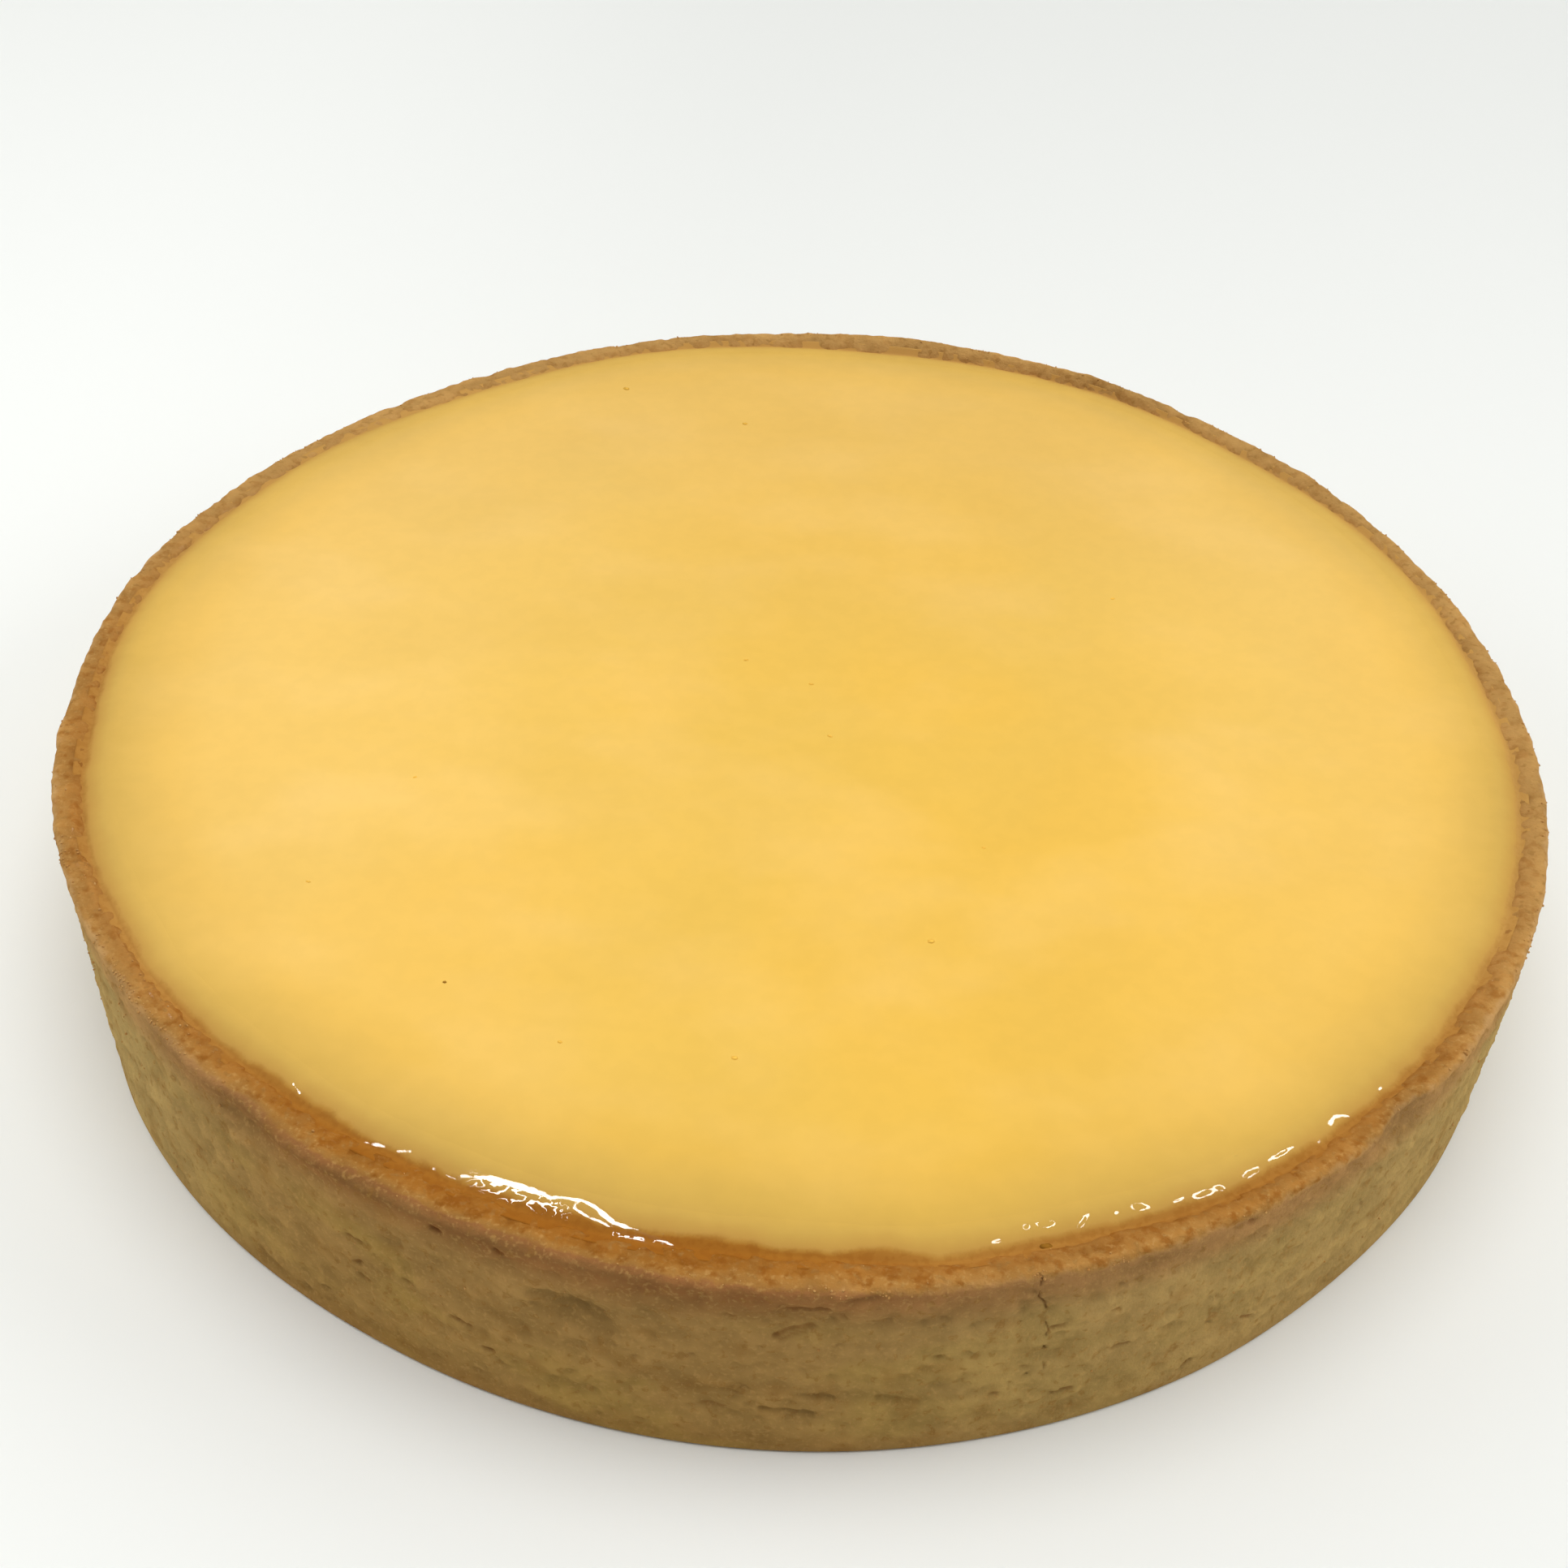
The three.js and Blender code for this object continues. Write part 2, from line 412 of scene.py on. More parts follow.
crust = {
    "radius": 90.0,
    "height": 27.0,
    "thick": 3.6,
    "footRound": 0.6,
    "lipRound": 0.8,  # outer edge of the rim
    "brimRound": 2.0,  # inner edge of the rim
    "quarterSteps": 270,
    "wallCuts": 48,
    "lean": 7.6,  # height from which the inside of the wall varies
    "liftDepth": 9.0,  # how far down the wall the lifts of the rim tell
    # angle, spread in degrees, millimetres wider
    "rimWidths": [
        (5, 12, 0.3), (28, 20, -0.8), (62, 24, -1.3), (104, 18, -0.5), (130, 20, 1.1),
        (173, 20, -0.9), (202, 14, -0.5), (236, 18, 1.2), (252, 16, 1.2), (269, 13, 1.2),
        (288, 10, 0.2), (302, 12, -0.6), (327, 10, 0.2),
    ],
    # angle, spread in degrees, millimetres higher
    "rimLifts": [
        (40, 14, 0.5), (62, 18, 1.15), (82, 16, 1.1), (100, 12, 0.4), (135, 27, -0.72),
        (236, 14, -0.3), (323, 16, 0.3),
    ],
    # angle, spread in degrees, millimetres outwards at the rim
    "bulges": [(8, 14, -0.25), (172, 16, 0.7), (198, 20, 0.75)],
    # angle, spread in degrees, millimetres outwards at the foot, and the height where that ends
    "flares": [(203, 13, -0.5), (222, 23, 0.68), (266, 36, 0.2), (312, 14, -0.35)],
    "flareHeight": 22.0,
    # angle, height, half width, half height, depth
    "dents": [
        (206, 21, 9, 6.0, 0.5), (233.5, 25.5, 6.5, 4.0, 0.9), (258, 19, 5.5, 3.8, 0.9),
        (269, 7.2, 11, 3.0, 0.5), (272, 22.5, 5.5, 3.6, 0.7), (286, 20.5, 4.5, 5.0, 0.6),
        (314, 25, 6.0, 4.0, 1.4),
    ],
    "otherDents": 15,  # like them, from the right over the back to the left
    "otherDentsFrom": 330,
    "otherDentsTo": 580,
    # cracks and gashes at the front: half width, depth, and the angles and heights that they run through
    "marks": [
        (1.4, 0.4, [(255.6, 20.6), (257.6, 20.4), (259.4, 19.0), (260.2, 17.4)]),
        (0.64, 0.28, [(270.2, 19.9), (270.8, 20.7), (271.6, 21.1), (272.4, 21.3)]),
        (0.5, 0.22, [(270.5, 19.4), (271.2, 20.2), (272.0, 20.6)]),
        (0.5, 0.6, [(286.7, 30.3), (287.7, 30.5)]), (0.6, 0.3, [(270.9, 24.0), (273.2, 24.3)]),
        (0.9, 0.3, [(274.2, 25.7), (275.9, 26.3)]), (0.5, 0.22, [(265.8, 7.2), (267.3, 6.9)]),
        (0.7, 0.36, [(269.6, 7.4), (271.2, 7.2), (272.7, 6.8)]),
        (0.9, 0.34, [(272.1, 10.4), (273.8, 10.0)]), (0.9, 0.34, [(276.8, 9.6), (277.8, 9.1)]),
        (0.14, 0.25, [(285.7, 27.4), (285.9, 26.4), (285.8, 25.6)]),
        (0.16, 0.3, [(285.9, 24.4), (286.0, 23.0), (286.5, 21.8), (286.7, 20.6)]),
        (0.14, 0.25, [(286.8, 18.6), (287.0, 17.6), (286.9, 16.8)]),
        (0.16, 0.3, [(286.9, 15.2), (287.0, 14.6)]), (0.14, 0.2, [(287.1, 12.2), (287.2, 11.2)]),
        (0.9, 0.3, [(284.9, 23.4), (285.2, 21.0)]), (0.5, 0.25, [(287.2, 17.8), (288.0, 18.0)]),
        (0.5, 0.3, [(302.2, 7.2), (302.9, 6.7)]), (0.5, 0.25, [(291.8, 11.5), (292.9, 11.7)]),
        (0.5, 0.3, [(297.6, 2.7), (298.4, 3.6)]), (0.6, 0.3, [(288.2, 6.0), (289.4, 6.3)]),
        (0.6, 0.45, [(248.9, 25.2), (249.4, 25.0)]), (0.5, 0.4, [(253.2, 25.4), (253.6, 25.2)]),
        (0.45, 0.3, [(242.0, 17.2), (243.0, 17.0)]), (0.4, 0.3, [(249.6, 11.7), (250.8, 11.4)]),
        (0.5, 0.28, [(242.6, 11.0), (243.1, 10.8)]), (0.4, 0.28, [(251.7, 8.4), (252.3, 8.2)]),
        (1.0, 0.3, [(312.0, 25.2), (313.2, 25.8)]), (0.9, 0.3, [(231.6, 24.2), (234.6, 24.6)]),
    ],
    # raised flakes and lumps: half width, height, and where they run
    "flakes": [
        (1.4, 0.4, [(257.9, 16.0), (258.5, 15.6)]), (1.0, 0.35, [(273.8, 26.7), (275.2, 27.0)]),
        (0.6, 0.35, [(200.0, 29.4), (203.0, 29.1)]), (0.5, 0.3, [(204.0, 28.7), (207.5, 29.3)]),
        (0.6, 0.3, [(209.0, 29.2), (212.0, 28.8)]), (0.5, 0.25, [(214.0, 29.4), (219.0, 29.5)]),
        (0.5, 0.25, [(221.0, 29.3), (226.0, 29.5)]), (1.2, 0.3, [(241.0, 14.4), (242.2, 13.8)]),
        (1.2, 0.25, [(266.0, 12.2), (267.2, 11.8)]), (1.3, 0.25, [(281.0, 7.4), (282.4, 7.6)]),
        (0.9, 0.3, [(232.6, 21.6), (233.8, 21.9)]),
    ],
    # angle, spread, share: where the pastry is darkest and brownest (baked browner, and on the wall
    # partly painted shade), and where only the rim is
    "toast": [(250, 40, 0.6), (282, 104, 0.62)],
    "rimToast": [(190, 50, 0.6), (312, 40, 0.2)],
    # angle, spread in degrees, millimetres that the brown of the lip reaches down the wall
    "lipReach": [(248, 34, -2.0), (298, 16, 0.9)],
    "bandReach": [(240, 24, -1.1), (302, 28, 1.2)],  # the same for the band below the lip
    # angle, spread, share: painted shade that makes the lip darker, and painted light where the share is
    # below 0
    "lipShade": [(243, 34, 0.5), (298, 14, -0.45), (314, 5, 0.4), (326, 16, -0.4)],
    # those three, and the uneven edge of the lip: middle and spread in millimetres along the surface
    "bands": {"lipReach": (27, 1.6), "bandReach": (23.5, 3.5), "lipShade": (27, 1.5), "lip": (27.1, 1.2)},
    # lumps of the crumb: size, height, seed
    "wideLumps": [(6, 0.18, 1), (2.2, 0.22, 2)],
    "wallLumps": [(1.1, 0.2, 6)],
    "rimLumps": [(2.6, 0.16, 3), (1.2, 0.14, 4)],
    "lipLumps": (3, 0.25, 5),
    "pits": (1.6, 0.25, 9),
    "flatten": 0.7,  # makes the wide lumps wider than they are high
    # where along the surface the rim's lumps begin, and where all relief begins and ends
    "rimFrom": (25, 27.5),
    "reliefFrom": (0.3, 3),
    "reliefTo": (31, 32.5),
    "marksTo": 29.5,
    "dashes": 220,  # small cracks and pits all round
    "dashSeed": 12,
    "hairline": 0.25,  # half width of the cracks that get the smallest faces
    "dark": 0.65,  # and of those that get painted shade inside
    "darkDepth": (0.1, 0.45),  # depths over which that painted shade grows
    # painted shade in the dents of the wall
    "paintedDentShade": 0.25,
    "alongFull": 33.0,  # way along the surface that counts as 1
}


def allDents():
    count, first = crust["otherDents"], crust["otherDentsFrom"]
    step = (crust["otherDentsTo"] - first) / count
    others = [(
        first + step * (index + jump(index, 2, 0.1, 0.9)),
        jump(index, 3, 5, 18),
        jump(index, 5, 4.5, 8),
        jump(index, 7, 3.2, 4.5),
        jump(index, 11, 0.4, 0.9),
    ) for index in range(count)]
    return crust["dents"] + others


def allMarks():
    dice = random.Random(crust["dashSeed"])
    dashes = []
    for _ in range(crust["dashes"]):
        angle = dice.uniform(0, 360)
        height = dice.uniform(2.5, 25.5)
        half = dice.uniform(0.3, 0.7)
        length = dice.uniform(0.05, 0.5)  # degrees
        tilt = dice.uniform(-0.4, 0.4)
        deep = half * dice.uniform(0.2, 0.5)
        dashes.append((half, deep, [(angle, height), (angle + length, height + tilt)]))
    return crust["marks"] + dashes


def makeCrust():
    radius, height, thick = crust["radius"], crust["height"], crust["thick"]
    inner = radius - thick
    piece = addSection("crustPiece", inner, radius, 0, height)
    selectAll()
    bpy.ops.mesh.bisect(plane_co=(0, 0, thick * mm), plane_no=(0, 0, 1))
    pick(piece, "EDGE", lambda p: near(p.x, inner) and p.z < thick + 0.01)
    bpy.ops.mesh.extrude_region_move(TRANSFORM_OT_translate={"value": (-inner * mm, 0, 0)})
    bpy.ops.mesh.select_mode(type="FACE")
    selectAll()
    bpy.ops.mesh.dissolve_faces()
    pick(piece, "VERT", lambda p: near(p.x, radius) and near(p.z, thick))
    bpy.ops.mesh.dissolve_verts()
    corners = [
        (radius, 0, crust["footRound"], 4),
        (radius, height, crust["lipRound"], 6),
        (inner, height, crust["brimRound"], 9),
    ]
    for x, z, offset, segments in corners:
        pick(piece, "VERT", lambda p: near(p.x, x) and near(p.z, z))
        bpy.ops.mesh.bevel(offset=offset * mm, segments=segments, affect="VERTICES")
    selectAll()
    bpy.ops.mesh.delete(type="ONLY_FACE")
    cutEdges(piece, crust["wallCuts"], lambda p: near(p.x, radius))
    cutEdges(piece, 2, lambda p: near(p.x, inner))
    spinSection(piece, crust["quarterSteps"])
    return piece


def markDistance(angle, height, route):
    # millimetres on the wall from a row of angles and heights
    scale = math.radians(1) * crust["radius"]
    across = turnBetween(angle, route[0][0]) * scale
    best = np.full(len(angle), 99.0)
    close = np.abs(across) < 30
    for (angleA, heightA), (angleB, heightB) in zip(route, route[1:]):
        startX = (angleA - route[0][0]) * scale
        stepX, stepZ = (angleB - angleA) * scale, heightB - heightA
        offX, offZ = across[close] - startX, height[close] - heightA
        share = np.clip((offX * stepX + offZ * stepZ) / (stepX ** 2 + stepZ ** 2), 0, 1)
        best[close] = np.minimum(best[close], np.hypot(offX - share * stepX, offZ - share * stepZ))
    return best


def alongWall(radius, height):
    # way along the surface in millimetres, from the foot up the outside and over the rim
    outwards = crust["radius"] - radius
    overTop = crust["height"] + outwards + crust["height"] - height
    return np.where(outwards < crust["thick"] / 2, height + outwards, overTop)


def refineMarks(piece, marks, margin):
    # smaller faces where there are cracks
    angle, radius, height = polar(readPoints(piece))
    along = alongWall(radius, height)
    close = np.zeros(len(angle), bool)
    for half, _, route in marks:
        close |= markDistance(angle, along, route) < half + margin
    close &= along < crust["marksTo"]
    bpy.ops.object.mode_set(mode="EDIT")
    pickCorners(piece, "FACE", any, lambda corner: close[corner.index])
    bpy.ops.mesh.subdivide(number_cuts=1)
    bpy.ops.object.mode_set(mode="OBJECT")


def dentDepth(angle, height):
    depth = np.zeros(len(angle))
    for at, middle, wide, tall, deep in allDents():
        sideways = np.radians(turnBetween(angle, at)) * crust["radius"]
        depth += deep * hill(np.hypot(sideways / wide, (height - middle) / tall))
    return depth


def wallOffset(angle, height):
    # bulges that grow towards the rim, flares that grow towards the foot, and the hollows of the wall
    bulge = hillsAt(angle, crust["bulges"]) * height / crust["height"]
    flare = hillsAt(angle, crust["flares"]) * np.clip(1 - height / crust["flareHeight"], 0, 1)
    return bulge + flare - dentDepth(angle, height)


def lumps(points, rows):
    return sum(high * clouds(points, size, seed) for size, high, seed in rows)


def inBand(along, name):
    middle, spread = crust["bands"][name]
    return hill((along - middle) / spread)


def rimShape(angle, radius, height):
    # share of the outside at a point, and how far the inside leans in there
    outside = ease(radius, crust["radius"] - crust["thick"], crust["radius"])
    full = crust["height"] - crust["brimRound"] - crust["lean"]
    lean = np.clip((height - crust["lean"]) / full, 0, 1)
    return outside, (1 - outside) * lean * hillsAt(angle, crust["rimWidths"])


def shapeCrust(piece, marks):
    angle, radius, height = polar(readPoints(piece))
    top = crust["height"]
    along = alongWall(radius, height)
    outside, inwards = rimShape(angle, radius, height)
    lift = hillsAt(angle, crust["rimLifts"]) * ease(height, top - crust["liftDepth"], top)
    newRadius = radius + outside * wallOffset(angle, height) - inwards
    writePoints(piece, fromPolar(angle, newRadius, height + outside * lift))

    # crumb of the pastry: flat wide lumps on the wall, small ones on the rim
    points, normals = readPoints(piece), readVectors(piece, "normal")
    flatter = fromPolar(angle, radius * crust["flatten"], height)
    onRim = ease(along, *crust["rimFrom"])
    pitSize, pitDepth, pitSeed = crust["pits"]
    pits = pitDepth * ease(clouds(points, pitSize, pitSeed), 0.4, 0.9)
    wallLumps = lumps(flatter, crust["wideLumps"]) + lumps(points, crust["wallLumps"]) - pits
    lipSize, lipHeight, lipSeed = crust["lipLumps"]
    lip = lipHeight * inBand(along, "lip") * (0.4 + clouds(flatter, lipSize, lipSeed))
    relief = wallLumps * (1 - onRim) + lumps(points, crust["rimLumps"]) * onRim + lip
    hollow, dark = np.zeros(len(angle)), np.zeros(len(angle))
    for half, deep, route in marks:
        depth = deep * hill(markDistance(angle, along, route) / half)
        hollow = np.maximum(hollow, depth)
        if half < crust["dark"]:
            dark = np.maximum(dark, depth)
    for half, high, route in crust["flakes"]:
        relief += high * hill(markDistance(angle, along, route) / half)
    relief = (relief - hollow) * ease(along, *crust["reliefFrom"]) * (1 - ease(along, *crust["reliefTo"]))
    points += normals * relief[:, None]
    points[:, 2] = np.maximum(points[:, 2], 0)  # it stands on the floor
    writePoints(piece, points)

    # masks for the finish
    reach = sum(hillsAt(angle, crust[name]) * inBand(along, name) for name in ("lipReach", "bandReach"))
    writeMask(piece, "along", (along + reach) / crust["alongFull"])
    # painted shade inside the narrow cracks, darker the deeper they are
    shallow, deepest = crust["darkDepth"]
    writeMask(piece, "hollow", (dark - shallow) / (deepest - shallow))
    # painted shade: dents darker, the lip darker or lighter in places, and the lumps lighter on top than
    # in their hollows
    shade = crust["paintedDentShade"] * dentDepth(angle, height) * outside
    shade += hillsAt(angle, crust["lipShade"]) * inBand(along, "lipShade")
    writeMask(piece, "lumps", 0.5 + relief - shade)
    writeMask(piece, "toast", hillsAt(angle, crust["toast"]))
    writeMask(piece, "rimToast", hillsAt(angle, crust["toast"] + crust["rimToast"]))


wallMarks = allMarks()
crustPiece = makeCrust()
spunPoints = len(crustPiece.data.vertices)
refineMarks(crustPiece, wallMarks, 0.3)
refineMarks(crustPiece, [mark for mark in wallMarks if mark[0] < crust["hairline"]], 0.2)
shapeCrust(crustPiece, wallMarks)
print("crust:", len(crustPiece.data.polygons), "faces")


# curd

curd = {
    "sink": 0.8,  # how far it reaches into the pastry
    "bottom": 3.9,
    "top": 27.4,
    # how far the surface falls towards the rim, and over which width
    "falls": [(0.5, 9.0), (0.8, 3.2)],
    "quarterSteps": 270,
    "cuts": [(100, 11), (15, 5), (5, 4)],  # width of a band along the edge, and cuts there
    "topFrom": 25.3,  # what is higher is the surface
    "waves": (16, 0.05, 7),  # unevenness of the surface: size, height, seed
    "waveReach": (20, 80),  # radii between which it grows
    "hidden": 0.4,  # width of the edge that the pastry hides
    "edgeRange": (-1.2, 16.0),  # distances from the pastry that count as 0 and 1
    # angle, spread in degrees, millimetres that the brown beside the pastry reaches further in
    "brownReach": [
        (236, 8, 0.4), (250, 40, 0.25), (257, 7, 0.5), (265.5, 5, 0.7), (276, 4, 0.8), (297, 24, 0.5),
    ],
}


def curdEdge():
    return crust["radius"] - crust["thick"] + curd["sink"]


def makeCurd():
    edge = curdEdge()
    piece = addSection("curdPiece", 0, edge, curd["bottom"], curd["top"])
    bpy.ops.mesh.delete(type="ONLY_FACE")
    for band, cuts in curd["cuts"]:
        cutEdges(piece, cuts, lambda p: near(p.z, curd["top"]) and p.x > edge - band)
    for drop, width in curd["falls"]:
        pick(piece, "VERT", lambda p: near(p.x, edge) and p.z > crust["thick"] + 1)
        bpy.ops.transform.translate(
            value=(0, 0, -drop * mm),
            use_proportional_edit=True,
            proportional_edit_falloff="SHARP",
            proportional_size=width * mm,
        )
    cutEdges(piece, 2, lambda p: near(p.z, curd["bottom"]))
    spinSection(piece, curd["quarterSteps"])
    return piece


def followRim(angle, radius, height):
    # carries what lies against the inside of the rim along with its widths and lifts
    outside, inwards = rimShape(angle, radius, height)
    outwards = outside * wallOffset(angle, height)
    lifted = height + outside * hillsAt(angle, crust["rimLifts"])
    return fromPolar(angle, radius - inwards * radius / curdEdge() + outwards, lifted)


def finishTop(piece, angle, radius, height):
    # slow waves of the surface, and how far each point is from the pastry
    points = followRim(angle, radius, height)
    onTop = height > curd["topFrom"]
    points[onTop, 2] += lumps(points[onTop], [curd["waves"]]) * ease(radius[onTop], *curd["waveReach"])
    writePoints(piece, points)
    low, high = curd["edgeRange"]
    inwards = curdEdge() - curd["hidden"] - radius - hillsAt(angle, curd["brownReach"])
    writeMask(piece, "edge", (inwards - low) / (high - low))
    writeMask(piece, "rimToast", hillsAt(angle, crust["toast"] + crust["rimToast"]))


curdPiece = makeCurd()
finishTop(curdPiece, *polar(readPoints(curdPiece)))
print("curd:", len(curdPiece.data.polygons), "faces")


# glaze that has run together along the rim

glaze = {
    "inner": 82.4,
    "outer": 87.9,
    "depth": 1.8,
    "starts": (82.4, 84.0),  # radii where it grows, and where it thins out
    "ends": (86.5, 87.45),
    "cuts": 35,
    "quarterSteps": 540,
    "filling": 0.2,  # roundness of the fillet between curd and pastry at the front
    "fillingBack": 0.05,
    "front": (270, 120),  # angle and spread
    "thick": 0.06,
    "sink": 0.06,  # how far its edges dip under what they lie on
    "waves": [(4.5, 0.05, 8), (1.2, 0.02, 8)],  # sizes, heights and seeds of its ripples
    "wetRange": 2.0,  # distance in millimetres up to which the patches are known
    # where it is still wet: half width, and the angles and radii that the patches run through
    "patches": [
        (0.1, [(249.0, 85.9), (249.9, 85.55), (250.8, 85.2)]),
        (0.2, [(249.9, 85.5), (250.8, 85.15), (254.6, 84.8), (255.1, 84.95)]),
        (0.3, [(250.8, 85.15), (252.6, 84.85), (253.9, 84.8)]),
        (0.16, [(255.1, 84.95), (256.0, 84.5), (257.1, 84.25), (258.0, 84.5), (259.0, 85.2)]),
        (0.22, [(258.6, 84.95), (259.5, 85.6)]),
        (0.12, [(259.5, 85.65), (261.0, 85.95), (262.0, 86.25), (263.0, 86.5), (263.6, 86.8)]),
        (0.06, [(257.0, 84.4), (256.8, 85.2), (258.0, 85.7), (259.0, 85.9), (259.7, 86.3)]),
        (0.06, [(259.7, 86.3), (260.3, 86.65), (261.3, 86.75), (262.3, 86.95)]),
        (0.05, [(247.0, 86.3), (248.8, 86.35)]), (0.04, [(249.4, 86.35), (250.9, 86.5)]),
        (0.07, [(234.8, 85.6), (235.7, 85.95)]), (0.08, [(241.8, 86.75), (243.3, 86.3)]),
        (0.11, [(244.2, 86.2), (245.0, 85.75)]), (0.1, [(263.6, 86.8), (263.3, 87.0)]),
        (0.18, [(309.2, 85.6), (309.8, 85.35), (310.4, 85.65), (310.8, 86.1)]),
        (0.08, [(301.6, 83.5), (301.8, 83.5)]), (0.08, [(307.5, 86.3), (307.7, 86.3)]),
        (0.09, [(314.3, 86.0), (314.6, 86.0)]),
    ],
    # where only threads are wet: angle, spread in degrees, radius, spread in millimetres, share
    "threads": [(252.8, 4.2, 85.7, 0.9, 1.6), (261.2, 2.2, 86.4, 0.6, 1.2)],
    # drops at the right, wet along their edges: angle, radius, half length, half width, turn in degrees
    "drops": [
        (284.0, 85.3, 0.5, 0.12, -10), (286.1, 84.4, 0.35, 0.28, 0), (287.4, 84.5, 0.9, 0.34, 10),
        (289.8, 85.1, 0.85, 0.22, -33), (292.2, 85.1, 0.14, 0.08, 0), (293.8, 85.2, 0.85, 0.33, 15),
        (296.4, 85.8, 0.5, 0.1, 0), (298.2, 86.1, 1.2, 0.27, 5), (299.4, 86.2, 0.55, 0.28, 20),
        (302.0, 86.15, 1.0, 0.27, 0), (304.7, 85.85, 1.25, 0.17, 0),
    ],
}


def makeGlaze():
    top = crust["height"]
    piece = addSection("glazePiece", glaze["inner"], glaze["outer"], top - glaze["depth"], top)
    bpy.ops.mesh.delete(type="ONLY_FACE")
    cutEdges(piece, glaze["cuts"], lambda p: near(p.z, top))
    spinSection(piece, glaze["quarterSteps"])
    return piece


def shapeGlaze(piece):
    angle, radius, height = polar(readPoints(piece))
    onTop = near(height, crust["height"])
    points = fromPolar(angle, radius, height)

    # the surface runs from the curd up onto the brim in a fillet
    curdHeight = np.full(len(angle), curd["top"])
    for drop, width in curd["falls"]:
        curdHeight -= drop * np.clip(1 - (curdEdge() - radius) / width, 0, 1) ** 2
    brim, inner = crust["brimRound"], crust["radius"] - crust["thick"]
    across = np.clip(inner + brim - radius, 0, brim)
    brimHeight = np.where(radius < inner, 0, crust["height"] - brim + np.sqrt(brim ** 2 - across ** 2))
    front, spread = glaze["front"]
    atFront = hill(turnBetween(angle, front) / spread)
    soft = glaze["fillingBack"] + (glaze["filling"] - glaze["fillingBack"]) * atFront
    fillet = soft * np.logaddexp(curdHeight / soft, brimHeight / soft)

    # it thins out towards the curd and on the brim
    body = ease(radius, *glaze["starts"]) * (1 - ease(radius, *glaze["ends"]))
    thickness = glaze["sink"] + glaze["thick"] + lumps(points, glaze["waves"])
    height = np.where(onTop, fillet - glaze["sink"] + body * thickness, height)
    finishTop(piece, angle, radius, height)

    # wet patches as millimetres from their edges, and the threads beside them
    reach = glaze["wetRange"]
    wet = np.full(len(angle), -reach)
    for half, route in glaze["patches"]:
        wet = np.maximum(wet, half - markDistance(angle, radius, route))
    writeMask(piece, "wet", 0.5 + 0.5 * wet / reach)
    threads = np.zeros(len(angle))
    for at, spread, middle, wide, share in glaze["threads"]:
        threads += share * hill(turnBetween(angle, at) / spread) * hill((radius - middle) / wide)
    writeMask(piece, "threads", threads)


glazePiece = makeGlaze()
shapeGlaze(glazePiece)
print("glaze:", len(glazePiece.data.polygons), "faces")


# loose crumbs on the pastry

crumbs = {
    "count": 900,
    "seed": 5,
    "sizes": (0.05, 0.16),  # radius
    # millimetres along the surface where they lie, spread, share
    "bands": [(27.2, 1.3, 1.0), (29.4, 1.0, 0.2), (14, 12, 0.1)],
    # angles with more of them, spread, share
    "more": [(206, 14, 4.0), (222, 12, 1.5), (296, 10, 0.6)],
    "others": 0.5,  # share everywhere else
    "clumps": (7, 11),  # size and seed
    "sink": 0.7,  # share of the radius that is in the pastry
    "dark": (178, 128, 70),
    "pale": (200, 156, 96),
    "mottled": (2, 1, 0.3, 0.7),
}


def joinBlobs(name, places, stretches, turns):
    # one mesh of many small lumps, each turned its own way
    startFresh()
    bpy.ops.mesh.primitive_ico_sphere_add(subdivisions=1, radius=1)
    lump = bpy.context.object
    corners = np.array([corner.co for corner in lump.data.vertices])
    faces = np.array([face.vertices for face in lump.data.polygons])
    bpy.data.objects.remove(lump)
    points = []
    for place, stretch, turn in zip(places, stretches, turns):
        points.append(corners * stretch @ np.array(turn.to_matrix()).T + place)
    mesh = bpy.data.meshes.new(name)
    steps = np.arange(len(points))[:, None, None] * len(corners)
    mesh.from_pydata((np.concatenate(points) * mm).tolist(), [], (faces + steps).reshape(-1, 3).tolist())
    piece = bpy.data.objects.new(name, mesh)
    bpy.context.collection.objects.link(piece)
    piece.select_set(True)
    bpy.context.view_layer.objects.active = piece
    bpy.ops.object.shade_smooth()
    return piece


def scatterCrumbs():
    dice = random.Random(crumbs["seed"])
    points, normals = readPoints(crustPiece), readVectors(crustPiece, "normal")
    share = np.empty(len(points), np.float32)
    crustPiece.data.attributes["along"].data.foreach_get("value", share)

    # the points that were added at the cracks come in another order each run, so they are sorted
    order = np.r_[:spunPoints, spunPoints + np.lexsort(points[spunPoints:].round(3).T)]
    points, normals, along = points[order], normals[order], share[order] * crust["alongFull"]
    angle, _, _ = polar(points)
    chance = sum(amount * hill((along - at) / spread) for at, spread, amount in crumbs["bands"])
    chance = chance * (crumbs["others"] + hillsAt(angle, crumbs["more"]))
    chance = chance * ease(clouds(points, *crumbs["clumps"]), -0.2, 0.5)
    chosen = dice.choices(range(len(points)), weights=chance, k=crumbs["count"])
    small, large = crumbs["sizes"]
    sizes = [small + (large - small) * dice.random() ** 2 for _ in chosen]
    above = 1 - crumbs["sink"]
    places = [points[index] + normals[index] * size * above for index, size in zip(chosen, sizes)]
    stretches = [[size * dice.uniform(0.6, 1.4) for _ in range(3)] for size in sizes]
    turns = [Quaternion([dice.gauss(0, 1) for _ in range(4)]).normalized() for _ in chosen]
    return joinBlobs("crumbsPiece", places, stretches, turns)


crumbsPiece = scatterCrumbs()
print("crumbs:", len(crumbsPiece.data.polygons), "faces")
